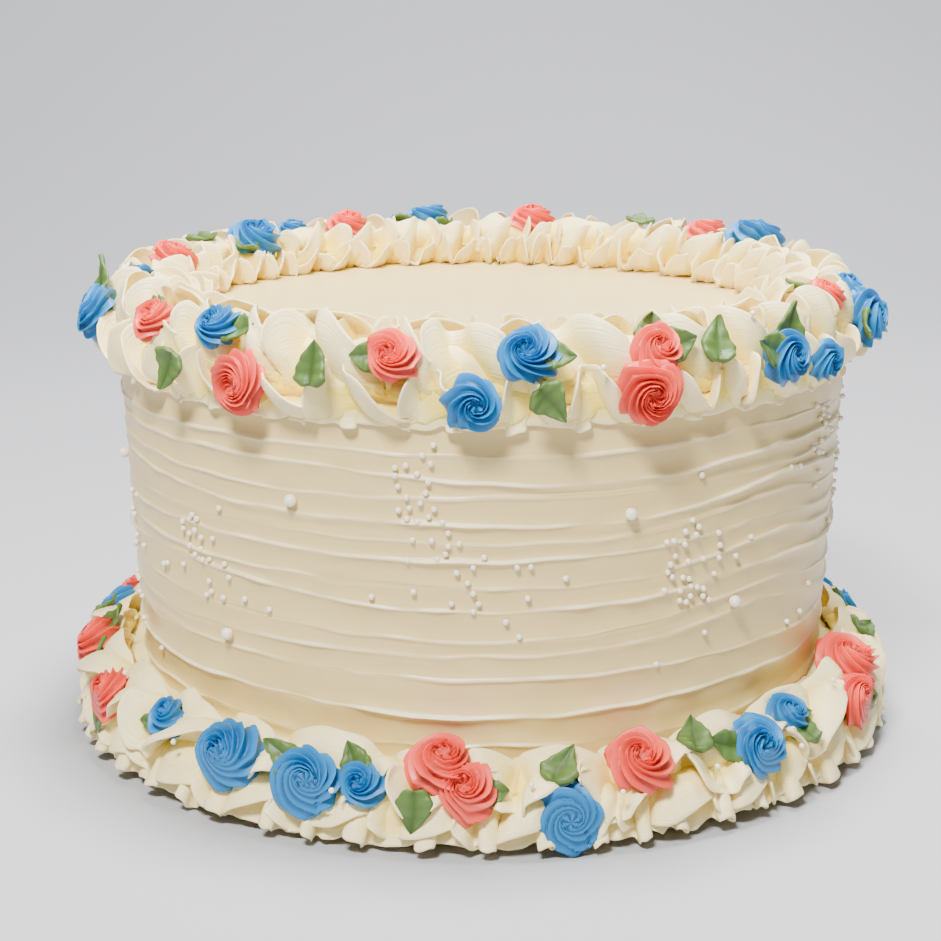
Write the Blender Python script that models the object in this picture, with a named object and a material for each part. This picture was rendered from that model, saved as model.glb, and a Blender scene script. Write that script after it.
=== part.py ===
"""Round buttercream celebration cake: a tapered, smooth-topped cake body with a piped ruffle
border round the top edge and another round the foot, set with piped swirl roses and leaves.

Frame: metres, +Z up. The origin is the centre of the flat underside. The front is -Y.
An angle along a border is theta, in degrees, 0 at +X and -90 at the front.
An angle across a border's section is psi: 0 faces outwards, 90 faces up.
"""
import math

import bmesh
import bpy
import numpy as np
from mathutils import Matrix, Vector
from mathutils.bvhtree import BVHTree

# ---------------------------------------------------------------- driving sizes, metres
CAKE_H = 0.172            # height of the flat top
FOOT_R = 0.1441           # radius at the foot
FLARE = 0.0484            # how much the radius grows for each metre of height
EDGE_IN, EDGE_DOWN = 0.0032, 0.0040   # softened top edge
BODY_SEGMENTS = 64
GAP = 0.0003              # clearance between touching pieces

# A border's section is a rounded square: centre radius, centre height, half width, half height,
# and how square it is (1 is an ellipse, less is squarer).
TOP_SECTION = (0.1410, 0.1705, 0.0200, 0.0200, 0.90)
TOP_INNER_R = 0.1212      # where the top border meets the flat top
TOP_SKIRT_Z = 0.1545      # how far it hangs down the side
TOP_FOLDS = 32            # folds of the top ruffle

FOOT_SECTION = (0.1455, 0.0, 0.0285, 0.0350, 0.70)
FOOT_RISE = 0.0050        # how much taller the foot border is piped at the two sides
FOOT_FOLDS = 36           # folds of the foot ruffle
FOOT_FRINGE = 0.0018      # pleats of its lower hem

ROSE_SIDES = 10           # five piped lobes
ROSE_SINK = 0.0042        # how deep a rose sits in its border
LEAF_THICK = 0.0022

IVORY = (0.90, 0.84, 0.68)
BLUE = (0.10, 0.36, 0.72)
CORAL = (0.83, 0.17, 0.14)
GREEN = (0.20, 0.33, 0.11)

# Roses: theta, psi, diameter in mm, colour, leaves as (direction in degrees, reach in mm).
# A direction of 0 points along the border towards greater theta, 90 points up the section.
# Where two roses overlap, the one listed first is whole and the other is pressed against it.
TOP_ROSES = [
    (-166, 21, 21, "blue", [(125, 22)]),
    (-143.5, 46, 16, "coral", [(138, 12)]),
    (-129.5, 56, 16, "blue", [(5, 15)]),
    (-123, 0, 21, "coral", []),
    (-101.5, 39, 18, "coral", [(180, 14)]),
    (-84, 42, 20, "blue", [(-8, 15)]),
    (-91, -10, 19, "blue", []),
    (-68.5, -1, 22, "coral", []),
    (-67, 38, 18, "coral", [(10, 15), (45, 14)]),
    (-45, 9, 19, "blue", [(153, 20), (72, 19)]),
    (-35, -5, 15, "blue", []),
    (-23, 71, 14, "coral", [(110, 16)]),
    (-15.5, 19, 21, "blue", [(-165, 15)]),
    (-13.5, 55, 15, "blue", []),
    (31.5, 76, 24, "blue", [(180, 16)]),
    (44.5, 78, 18, "coral", [(0, 15)]),
    (80.5, 88, 20, "coral", [(10, 14)]),
    (101, 78, 20, "blue", [(8, 15), (150, 13)]),
    (118, 97, 19, "coral", []),
    (128.5, 80, 14, "blue", []),
    (142, 112, 22, "blue", [(20, 15)]),
    (167.5, 104, 18, "coral", [(-170, 13)]),
    (-173, 84, 13, "blue", []),
]
TOP_LEAVES = [  # theta, psi, direction, length in mm
    (-135.2, 1, -118, 13),
    (-111.7, 19, 90, 14),
    (-81.5, -4, -45, 13),
    (-57.5, 38, 72, 15),
    (58, 90, 75, 12),
    (153.5, 92, 60, 13),
]
FOOT_ROSES = [
    (163, 58, 18, "coral", []),
    (168.5, 44, 18, "blue", []),
    (-172.4, 51, 21, "coral", [(93, 16), (0, 15)]),
    (-153, 41, 20, "coral", [(-97, 17)]),
    (-137.8, 53, 16, "blue", [(-158, 12)]),
    (-124, 44, 25, "blue", []),
    (-112.3, 38, 25, "blue", [(143, 20)]),
    (-105, 43, 16, "blue", [(124, 15)]),
    (-91.9, 41, 20, "coral", [(-2, 14)]),
    (-95.3, 62, 23, "coral", []),
    (-79, 20, 23, "blue", []),
    (-69, 53, 23, "coral", []),
    (-51.4, 44, 22, "blue", [(163, 21)]),
    (-43.2, 61, 17, "blue", [(-12, 12), (-55, 19)]),
    (-21.4, 65, 24, "coral", []),
    (-27.5, 38, 20, "coral", [(-10, 18)]),
    (11, 46, 15, "blue", [(120, 13)]),
    (18, 60, 16, "blue", []),
    # the side that faces away carries on in the same way
    (41, 44, 22, "coral", [(20, 15)]),
    (66, 36, 22, "blue", [(150, 15)]),
    (90, 50, 21, "coral", [(-20, 14)]),
    (114, 38, 22, "blue", [(110, 15)]),
    (138, 48, 20, "coral", [(150, 14)]),
]
FOOT_LEAVES = [
    (177, 56, 70, 13),
    (-97.9, 24, -88, 15),
    (-80, 56, 60, 14),
    (-60.5, 64, 60, 13),
    (-4, 54, -30, 15),
]


def srgb_material(name, colour, rough):
    mat = bpy.data.materials.new(name)
    mat.use_nodes = True
    bsdf = mat.node_tree.nodes["Principled BSDF"]
    bsdf.inputs["Base Color"].default_value = (*colour, 1.0)
    bsdf.inputs["Roughness"].default_value = rough
    bsdf.inputs["Metallic"].default_value = 0.0
    return mat


def side_radius(z):
    return FOOT_R + FLARE * z


def mesh_object(name, verts, faces, material=None):
    mesh = bpy.data.meshes.new(name)
    mesh.from_pydata([tuple(v) for v in verts], [], faces)
    mesh.update()
    bm = bmesh.new()
    bm.from_mesh(mesh)
    bmesh.ops.recalc_face_normals(bm, faces=bm.faces)
    bmesh.ops.triangulate(bm, faces=[f for f in bm.faces if len(f.verts) == 4],
                          quad_method="SHORT_EDGE")
    if bm.calc_volume(signed=True) < 0:
        bmesh.ops.reverse_faces(bm, faces=bm.faces)
    bm.to_mesh(mesh)
    bm.free()
    obj = bpy.data.objects.new(name, mesh)
    bpy.context.scene.collection.objects.link(obj)
    if material is not None:
        mesh.materials.append(material)
    return obj


def lathe(profile, segments, radius_of=None):
    """Turned shape. profile is a closed loop of (r, z), or one that starts and ends on the axis."""
    verts, faces = [], []
    on_axis = [abs(r) < 1e-9 for r, _ in profile]
    rows = []
    for k, (r, z) in enumerate(profile):
        if on_axis[k]:
            rows.append([len(verts)])
            verts.append((0, 0, z))
            continue
        row = []
        for i in range(segments):
            a = 2 * math.pi * i / segments
            rr, zz = (r, z) if radius_of is None else radius_of(k, i, r, z)
            row.append(len(verts))
            verts.append((rr * math.cos(a), rr * math.sin(a), zz))
        rows.append(row)
    closed = not any(on_axis)
    pairs = list(zip(range(len(rows)), range(1, len(rows))))
    if closed:
        pairs.append((len(rows) - 1, 0))
    for a, b in pairs:
        ra, rb = rows[a], rows[b]
        for i in range(segments):
            j = (i + 1) % segments
            if len(ra) == 1 and len(rb) == 1:
                continue
            if len(ra) == 1:
                faces.append((ra[0], rb[i], rb[j]))
            elif len(rb) == 1:
                faces.append((ra[i], rb[0], ra[j]))
            else:
                faces.append((ra[i], rb[i], rb[j], ra[j]))
    return verts, faces


def slow(i, segments, seed):
    """A smooth seamless wobble from -1 to 1 round the ring."""
    a = 2 * math.pi * i / segments
    return (math.sin(3 * a + seed) + math.sin(7 * a + 2.1 * seed) + math.sin(11 * a + 3.7 * seed)) / 3


# ---------------------------------------------------------------- cake body
def cake_body(material):
    profile = [
        (0.0, 0.0),
        (FOOT_R, 0.0),
        (side_radius(CAKE_H - EDGE_DOWN), CAKE_H - EDGE_DOWN),
        (side_radius(CAKE_H) - EDGE_IN, CAKE_H),
        (0.0, CAKE_H),
    ]
    verts, faces = lathe(profile, BODY_SEGMENTS)
    return mesh_object("cake_body", verts, faces, material)


# ---------------------------------------------------------------- ruffle borders
def bent(value, power):
    return math.copysign(abs(value) ** power, value)


def section_at(section, theta):
    """The section at an angle round the cake: the foot border is taller at the two sides."""
    rc, zc, a, b, e = section
    if section is FOOT_SECTION:
        b += FOOT_RISE * (0.5 + 0.5 * math.cos(2 * math.radians(theta)))
    return rc, zc, a, b, e


def section_point(section, psi, grow=0.0):
    rc, zc, a, b, e = section
    p = math.radians(psi)
    return rc + (a + grow) * bent(math.cos(p), e), zc + (b + grow) * bent(math.sin(p), e)


def section_out(section, psi):
    _, _, a, b, e = section
    p = math.radians(psi)
    return Vector((bent(math.cos(p), 2 - e) / a, bent(math.sin(p), 2 - e) / b)).normalized()


def ruffle(section, i, segments, psi, offset, depth, lean, seed):
    """A point of a border's folded skin: the folds swell, and lean further the higher they are."""
    theta = 360.0 * i / segments
    sec = section_at(section, theta)
    r, z = section_point(sec, psi)
    out = section_out(sec, psi)
    swell = 1.0 + 0.35 * slow(i, segments, seed)
    d = offset + depth * swell * math.sin(2 * math.pi * i / 3 + lean + 0.5 * slow(i, segments, seed + 2))
    return r + d * out.x, z + d * out.y


def top_border(material):
    segments = TOP_FOLDS * 3
    inner = [
        (TOP_INNER_R + 0.0012, CAKE_H + GAP),
        (side_radius(CAKE_H) - EDGE_IN + 0.0002, CAKE_H + GAP),
        (side_radius(CAKE_H - EDGE_DOWN) + GAP + 0.0001, CAKE_H - EDGE_DOWN + 0.0002),
        (side_radius(TOP_SKIRT_Z) + GAP + 0.0001, TOP_SKIRT_Z),
    ]
    # psi, offset, depth of the folds, lean: hem, outer flap, trough, inner flap, inner foot
    skin = [
        (-50, 0.0000, 0.0000, 0.0),
        (-20, 0.0000, 0.0018, 0.4),
        (8, 0.0005, 0.0032, 1.0),
        (40, -0.0024, 0.0014, 1.9),
        (70, 0.0000, 0.0022, 3.6),
        (98, 0.0010, 0.0028, 4.2),
        (136, 0.0000, 0.0018, 5.2),
    ]
    profile = inner + [section_point(TOP_SECTION, row[0]) for row in skin]

    def folded(k, i, r, z):
        if k < len(inner):
            return (r + 0.0009 * math.sin(2 * math.pi * i / 3 + 5.9), z) if k == 0 else (r, z)
        psi, offset, depth, lean = skin[k - len(inner)]
        rr, zz = ruffle(TOP_SECTION, i, segments, psi, offset, depth, lean, 1.3)
        if k == len(inner):                               # pleated lower hem
            rr += 0.0010 * (1 if i % 2 else -1)
        return rr, zz

    verts, faces = lathe(profile, segments, folded)
    return mesh_object("top_border", verts, faces, material)


def foot_border(material):
    segments = FOOT_FOLDS * 3
    top_z = 0.0335
    inner = [
        (side_radius(top_z) + GAP + 0.0001, top_z),
        (FOOT_R + GAP + 0.0001, 0.0),
        (0.1716, 0.0),
    ]
    skin = [
        (9, 0.0002, 0.0022, 0.3),
        (30, 0.0008, 0.0030, 1.0),
        (54, -0.0026, 0.0014, 1.9),
        (78, 0.0004, 0.0020, 3.6),
    ]
    profile = inner + [section_point(FOOT_SECTION, row[0]) for row in skin]

    def folded(k, i, r, z):
        if k == 0:
            return r, z
        if k == 1:
            return r, z
        if k == 2:
            return r + FOOT_FRINGE * math.sin(2 * math.pi * i / 3), z
        psi, offset, depth, lean = skin[k - len(inner)]
        return ruffle(FOOT_SECTION, i, segments, psi, offset, depth, lean, 4.1)

    verts, faces = lathe(profile, segments, folded)
    return mesh_object("foot_border", verts, faces, material)


# ---------------------------------------------------------------- roses and leaves
def seat(section, theta, psi, sink):
    """Frame of a piece on a border: origin, then axes right, up-the-section and out."""
    sec = section_at(section, theta)
    t = math.radians(theta)
    r, z = section_point(sec, psi, -sink)
    out2 = section_out(sec, psi)
    radial = Vector((math.cos(t), math.sin(t), 0))
    out = radial * out2.x + Vector((0, 0, out2.y))
    right = Vector((-math.sin(t), math.cos(t), 0))
    up = out.cross(right)
    m = Matrix((right, up, out)).transposed().to_4x4()
    m.translation = radial * r + Vector((0, 0, z))
    return m


def rose_mesh(diameter, turn):
    """Piped rose: five lobes that twist from the base up to a dimpled heart."""
    R, h, n = diameter / 2, 0.46 * diameter, ROSE_SIDES
    rings = [(0.80, 0.0, 0.04), (1.0, 0.40, 0.09), (0.60, 0.86, 0.10)]
    verts, faces = [], []
    for k, (share, rise, lobe) in enumerate(rings):
        for i in range(n):
            a = 2 * math.pi * (i + 0.55 * k) / n + turn
            rr = R * share * (1 - lobe + (lobe if i % 2 else -lobe))
            verts.append((rr * math.cos(a), rr * math.sin(a), h * rise))
    for k in range(len(rings) - 1):
        for i in range(n):
            j = (i + 1) % n
            a, b = k * n, (k + 1) * n
            faces.append((a + i, a + j, b + j, b + i))
    faces.append(tuple(reversed(range(n))))
    verts.append((0, 0, h * 0.80))
    last = (len(rings) - 1) * n
    for i in range(n):
        faces.append((last + i, last + (i + 1) % n, len(verts) - 1))
    return verts, faces


def leaf_mesh(length, start, grow=0.0):
    """Piped leaf: a pointed blade with a creased middle, lying along +X and starting at start."""
    w, t = 0.0050 + grow, LEAF_THICK / 2 + grow
    stations = [(start, 0.50), (start + 0.42 * length, 1.0), (start + length + 2 * grow, 0.0)]
    verts, faces = [], []
    for x, share in stations[:2]:
        crease = 0.16 * w * share
        verts += [
            (x - (grow if x == start else 0), -w * share, t + crease),
            (x - (grow if x == start else 0), 0, t),
            (x - (grow if x == start else 0), w * share, t + crease),
            (x - (grow if x == start else 0), w * share, -t + crease),
            (x - (grow if x == start else 0), 0, -t),
            (x - (grow if x == start else 0), -w * share, -t + crease),
        ]
    tip_x = stations[2][0]
    verts += [(tip_x, 0, t + 0.10 * length), (tip_x, 0, -t + 0.10 * length)]
    for i in range(6):
        j = (i + 1) % 6
        faces.append((i, j, 6 + j, 6 + i))
    faces += [(5, 4, 3), (5, 3, 2), (5, 2, 0), (0, 2, 1)]
    top, low = 12, 13
    faces += [(6, 7, top), (7, 8, top), (8, 9, low), (8, low, top), (9, 10, low), (10, 11, low),
              (11, 6, top), (11, top, low)]
    return verts, faces


def leaf_pocket(length, start):
    """The room a leaf needs in its border: its outline, from just below it out past the folds."""
    g = 0.0005
    w, low = 0.0050 + g, -LEAF_THICK / 2 - g
    line = [(start - g, -0.5 * w - g), (start + 0.42 * length, -w - g), (start + length + 3 * g, -g),
            (start + length + 3 * g, g), (start + 0.42 * length, w + g), (start - g, 0.5 * w + g)]
    n = len(line)
    verts = [(x, y, z) for z in (low, 0.025) for x, y in line]
    faces = [(i, (i + 1) % n, n + (i + 1) % n, n + i) for i in range(n)]
    return verts, faces + [tuple(reversed(range(n))), tuple(range(n, 2 * n))]


def placed(verts, matrix):
    return [matrix @ Vector(v) for v in verts]


def volume_of(mesh):
    """The enclosed volume, or None where the mesh isn't closed."""
    bm = bmesh.new()
    bm.from_mesh(mesh)
    closed = len(bm.faces) > 3 and all(len(e.link_faces) == 2 for e in bm.edges)
    size = bm.calc_volume(signed=True) if closed else None
    bm.free()
    return size


def boolean(obj, tool, operation):
    """EXACT first; where that leaves an open or a lost shape, the same step with MANIFOLD."""
    before, cut = volume_of(obj.data), volume_of(tool.data)
    least = before * 0.9999 if operation == "UNION" else before - cut
    most = before + cut if operation == "UNION" else before * 1.0001
    for solver in ("EXACT", "MANIFOLD"):
        mod = obj.modifiers.new("cut", "BOOLEAN")
        mod.operation, mod.solver, mod.object = operation, solver, tool
        bpy.context.view_layer.update()
        done = bpy.data.meshes.new_from_object(
            obj.evaluated_get(bpy.context.evaluated_depsgraph_get()))
        obj.modifiers.clear()
        size = volume_of(done)
        if size is not None and least - 1e-12 <= size <= most + 1e-12:
            break
        print("retry", obj.name, tool.name, operation, solver, size, least, most)
    old, obj.data = obj.data, done
    bpy.data.meshes.remove(old)


def drop(obj):
    mesh = obj.data
    bpy.data.objects.remove(obj)
    bpy.data.meshes.remove(mesh)


def keep_largest(obj):
    """Removes crumbs that a cut left loose, and merges what lies within a hair."""
    bm = bmesh.new()
    bm.from_mesh(obj.data)
    bmesh.ops.remove_doubles(bm, verts=bm.verts, dist=2e-6)
    left, groups = set(bm.verts), []
    while left:
        stack, group = [left.pop()], set()
        while stack:
            v = stack.pop()
            group.add(v)
            for e in v.link_edges:
                o = e.other_vert(v)
                if o in left:
                    left.remove(o)
                    stack.append(o)
        groups.append(group)
    groups.sort(key=len, reverse=True)
    for group in groups[1:]:
        bmesh.ops.delete(bm, geom=list(group), context="VERTS")
    bmesh.ops.dissolve_degenerate(bm, edges=bm.edges, dist=1e-6)
    bm.to_mesh(obj.data)
    bm.free()


def tree_of(verts, faces):
    return BVHTree.FromPolygons([Vector(v) for v in verts], faces)


def clear_of_cake(points):
    """The least distance from the points to the cake body's side or top, negative inside."""
    best = 1.0
    for p in points:
        if p.z < CAKE_H + GAP:
            best = min(best, math.hypot(p.x, p.y) - side_radius(p.z))
    return best


def settle(matrix, verts):
    """Moves a piece out or up until it is clear of the cake body and of the ground."""
    for _ in range(40):
        points = placed(verts, matrix)
        low = min(p.z for p in points)
        near = clear_of_cake(points)
        step = Vector((0, 0, 0))
        if low < 0.0004:
            step.z += 0.0004 - low
        if near < 0.0012:
            out = Vector((matrix.translation.x, matrix.translation.y, 0)).normalized()
            step += out * 0.0005
        if step.length < 1e-7:
            break
        matrix = Matrix.Translation(step) @ matrix
    return matrix


def build():
    for obj in list(bpy.data.objects):
        bpy.data.objects.remove(obj)
    ivory = srgb_material("ivory_buttercream", IVORY, 0.5)
    colours = {
        "blue": srgb_material("blue_buttercream", BLUE, 0.5),
        "coral": srgb_material("coral_buttercream", CORAL, 0.5),
        "green": srgb_material("green_buttercream", GREEN, 0.55),
    }
    cake_body(ivory)
    borders = {"top": top_border(ivory), "foot": foot_border(ivory)}
    sections = {"top": TOP_SECTION, "foot": FOOT_SECTION}
    taken = []                                  # BVH trees of everything set so far, inflated
    cutters = {"top": [], "foot": []}

    # every rose's seat first, so that leaves can be turned clear of all of them
    roses = []
    for where, table in (("top", TOP_ROSES), ("foot", FOOT_ROSES)):
        for n, (theta, psi, d_mm, colour, leaves) in enumerate(table, 1):
            d = d_mm / 1000
            verts, faces = rose_mesh(d, 0.7 * n)
            matrix = settle(seat(sections[where], theta, psi, ROSE_SINK), verts)
            roses.append(dict(where=where, n=n, d=d, colour=colour, leaves=leaves, verts=verts,
                              faces=faces, matrix=matrix))
    for R in roses:
        grown = [(x * 1.04, y * 1.04, z) for x, y, z in R["verts"]]
        R["tree"] = tree_of(placed(grown, R["matrix"]), R["faces"])
        taken.append((R, R["tree"]))

    def plug(matrix, radius, name):
        """The pocket of a rose: a prism from just under its base out past the folds."""
        n = 6
        verts = [(radius / math.cos(math.pi / n) * math.cos(2 * math.pi * (i + .5) / n),
                  radius / math.cos(math.pi / n) * math.sin(2 * math.pi * (i + .5) / n), z)
                 for z in (-GAP, 0.030) for i in range(n)]
        faces = [(i, (i + 1) % n, n + (i + 1) % n, n + i) for i in range(n)]
        faces += [tuple(reversed(range(n))), tuple(range(n, 2 * n))]
        return mesh_object(name, placed(verts, matrix), faces)

    leaf_trees = []

    def leaf_clear(points, faces, owner):
        if clear_of_cake(points) < 0.0010 or min(p.z for p in points) < 0.0004:
            return False
        tree = tree_of(points, faces)
        if any(tree.overlap(t) for r, t in taken if r is not owner):
            return False
        return not any(tree.overlap(t) for t in leaf_trees)

    def find_leaf(base, direction, length, start, owner, lifts):
        """Turns and lifts a leaf in small steps until it is clear of its neighbours."""
        for lift in lifts:
            for turn in (0, 12, -12, 24, -24, 36, -36, 50, -50, 70, -70, 95, -95):
                m = (base @ Matrix.Rotation(math.radians(direction + turn), 4, "Z")
                     @ Matrix.Translation((0, 0, lift)))
                fat, faces = leaf_mesh(length, start, 0.0005)
                if leaf_clear(placed(fat, m), faces, owner):
                    return m, fat, faces
        return None

    for R in roses:
        name = f"{R['where']}_rose_{R['colour']}_{R['n']:02d}"
        rose = mesh_object(name, placed(R["verts"], R["matrix"]), R["faces"], colours[R["colour"]])
        for E in roses[:roses.index(R)]:
            if R["tree"].overlap(E["tree"]):
                swollen = [(x * (1 + 0.0007 / E["d"]), y * (1 + 0.0007 / E["d"]), z + (0.0004 if z > 0 else -0.0004))
                           for x, y, z in E["verts"]]
                tool = mesh_object("neighbour", placed(swollen, E["matrix"]), E["faces"])
                boolean(rose, tool, "DIFFERENCE")
                drop(tool)
        cutters[R["where"]].append(plug(R["matrix"], R["d"] / 2 + 0.0006, "plug"))
        for k, (direction, length) in enumerate(R["leaves"]):
            base = R["matrix"]
            start = 0.30 * R["d"]
            length -= 1000 * start
            found = find_leaf(base, direction, length / 1000, start, R,
                              (0.0030, 0.0040, 0.0050))
            if found is None:
                print("no room for leaf", k, "of", name)
                continue
            m, fat, fat_faces = found
            leaf_trees.append(tree_of(placed(fat, m), fat_faces))
            verts, faces = leaf_mesh(length / 1000, start)
            leaf = mesh_object("leaf", placed(verts, m), faces, colours["green"])
            boolean(rose, leaf, "UNION")
            drop(leaf)
            pocket, pocket_faces = leaf_pocket(length / 1000, start)
            cutters[R["where"]].append(mesh_object("plug", placed(pocket, m), pocket_faces))
        keep_largest(rose)

    for where, table in (("top", TOP_LEAVES), ("foot", FOOT_LEAVES)):
        for n, (theta, psi, direction, length) in enumerate(table, 1):
            base = seat(sections[where], theta, psi, 0.0)
            found = find_leaf(base, direction, length / 1000, -0.4 * length / 1000, None,
                              (0.0006, 0.0016, 0.0026, 0.0040))
            if found is None:
                print("no room for lone leaf", where, n)
                continue
            m, fat, fat_faces = found
            leaf_trees.append(tree_of(placed(fat, m), fat_faces))
            verts, faces = leaf_mesh(length / 1000, -0.4 * length / 1000)
            mesh_object(f"{where}_leaf_{n:02d}", placed(verts, m), faces, colours["green"])
            pocket, pocket_faces = leaf_pocket(length / 1000, -0.4 * length / 1000)
            cutters[where].append(mesh_object("plug", placed(pocket, m), pocket_faces))

    for where, border in borders.items():
        for tool in cutters[where]:
            boolean(border, tool, "DIFFERENCE")
            drop(tool)
        keep_largest(border)

    for obj in bpy.context.scene.collection.objects:
        obj.data.materials.clear()
        base = (ivory if obj.name in ("cake_body", "top_border", "foot_border") else
                colours["blue"] if "blue" in obj.name else
                colours["coral"] if "coral" in obj.name else colours["green"])
        obj.data.materials.append(base)
        if obj.name in ("cake_body", "top_border", "foot_border"):
            obj.data.shade_smooth()
            obj.data.set_sharp_from_angle(angle=math.radians(40))
    total = 0
    for obj in bpy.context.scene.collection.objects:
        obj.data.calc_loop_triangles()
        total += len(obj.data.loop_triangles)
    print("objects", len(bpy.context.scene.collection.objects), "triangles", total)


build()
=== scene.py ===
"""Looks of the round buttercream cake: smooth ivory coat with spatula ridges, piped ruffle borders,
swirl roses, leaves and sugar pearls. Everything is made here in code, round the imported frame.

theta runs round the cake in degrees, 0 at +X and -90 at the front; psi runs across a border's
section, 0 facing out and 90 facing up.
"""
import math

import bpy
import numpy as np
from mathutils import Matrix, Vector


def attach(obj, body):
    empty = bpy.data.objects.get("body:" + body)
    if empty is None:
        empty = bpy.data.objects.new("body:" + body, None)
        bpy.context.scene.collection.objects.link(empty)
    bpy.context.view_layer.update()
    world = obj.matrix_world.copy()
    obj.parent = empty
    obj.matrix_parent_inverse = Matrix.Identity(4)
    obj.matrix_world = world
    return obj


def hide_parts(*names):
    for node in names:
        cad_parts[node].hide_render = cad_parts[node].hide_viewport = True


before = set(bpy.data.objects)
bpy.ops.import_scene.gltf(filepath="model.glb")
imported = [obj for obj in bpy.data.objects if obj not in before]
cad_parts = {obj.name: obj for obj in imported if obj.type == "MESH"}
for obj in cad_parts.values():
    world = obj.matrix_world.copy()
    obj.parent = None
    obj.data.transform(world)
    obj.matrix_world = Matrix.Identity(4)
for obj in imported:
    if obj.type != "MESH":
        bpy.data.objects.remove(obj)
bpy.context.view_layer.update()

TAU = 2 * math.pi

CAKE_H = 0.172
FOOT_R = 0.1441
FLARE = 0.0484
TOP_SECTION = (0.1410, 0.1705, 0.0200, 0.0200, 0.90)
FOOT_SECTION = (0.1455, 0.0, 0.0285, 0.0350, 0.70)
FOOT_RISE = 0.0050
# where the ruffles' faces run, a little inside the borders' outlines
TOP_SKIN = (0.1392, 0.1705, 0.0138, 0.0182, 0.90)
FOOT_SKIN = (0.1440, 0.0, 0.0262, 0.0345, 0.80)
FOOT_BACK = (0.1475, 0.010, 0.0095, 0.0255, 0.90)      # the petals that stand against the cake's side

# ------------------------------------------------------------------ helpers


def fade(x, a, b):
    t = np.clip((np.asarray(x, float) - a) / (b - a), 0, 1)
    return t * t * (3 - 2 * t)


def wobble(theta, freqs, seed):
    """Smooth seamless noise round the ring, about -1 to 1. theta in radians."""
    rng = np.random.default_rng(seed)
    out = np.zeros_like(theta)
    for f in freqs:
        out += rng.uniform(0.6, 1.0) * np.sin(f * theta + rng.uniform(0, TAU))
    return out / len(freqs) ** 0.5


def side_radius(z):
    return FOOT_R + FLARE * z


def bent(v, power):
    return np.sign(v) * np.abs(v) ** power


def section_point(section, theta, psi, grow=0.0):
    """theta and psi in radians, any shape."""
    rc, zc, a, b, e = section
    if section in (FOOT_SECTION, FOOT_SKIN, FOOT_BACK):
        b = b + FOOT_RISE * (0.5 + 0.5 * np.cos(2 * theta))
    r = rc + (a + grow) * bent(np.cos(psi), e)
    z = zc + (b + grow) * bent(np.sin(psi), e)
    o = np.stack([bent(np.cos(psi), 2 - e) / a, bent(np.sin(psi), 2 - e) / (b + 0 * psi)])
    o = o / np.linalg.norm(o, axis=0)
    return r, z, o[0], o[1]


def grid_faces(nu, nv, wrap_u=False, wrap_v=False, start=0):
    mu, mv = (nu if wrap_u else nu - 1), (nv if wrap_v else nv - 1)
    i, j = np.meshgrid(np.arange(mu), np.arange(mv), indexing="ij")
    i2, j2 = (i + 1) % nu, (j + 1) % nv
    f = np.stack([i * nv + j, i2 * nv + j, i2 * nv + j2, i * nv + j2], -1).reshape(-1, 4)
    return f + start


def make_mesh(name, verts, faces, material, smooth=True, attrs=None, uv=None):
    mesh = bpy.data.meshes.new(name)
    verts = np.asarray(verts, np.float64).reshape(-1, 3)
    faces = [tuple(int(x) for x in f) for f in faces]
    mesh.from_pydata(verts.tolist(), [], faces)
    mesh.validate(verbose=False)
    mesh.update()
    for key, values in (attrs or {}).items():
        a = mesh.attributes.new(key, "FLOAT", "POINT")
        a.data.foreach_set("value", np.asarray(values, np.float32).ravel())
    mesh.materials.append(material)
    if smooth:
        mesh.shade_smooth()
    obj = bpy.data.objects.new(name, mesh)
    bpy.context.scene.collection.objects.link(obj)
    return obj


def finish_piece(obj, slot, *nodes):
    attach(obj, "root")
    if nodes:
        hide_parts(*nodes)
    return obj


# ------------------------------------------------------------------ materials


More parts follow.
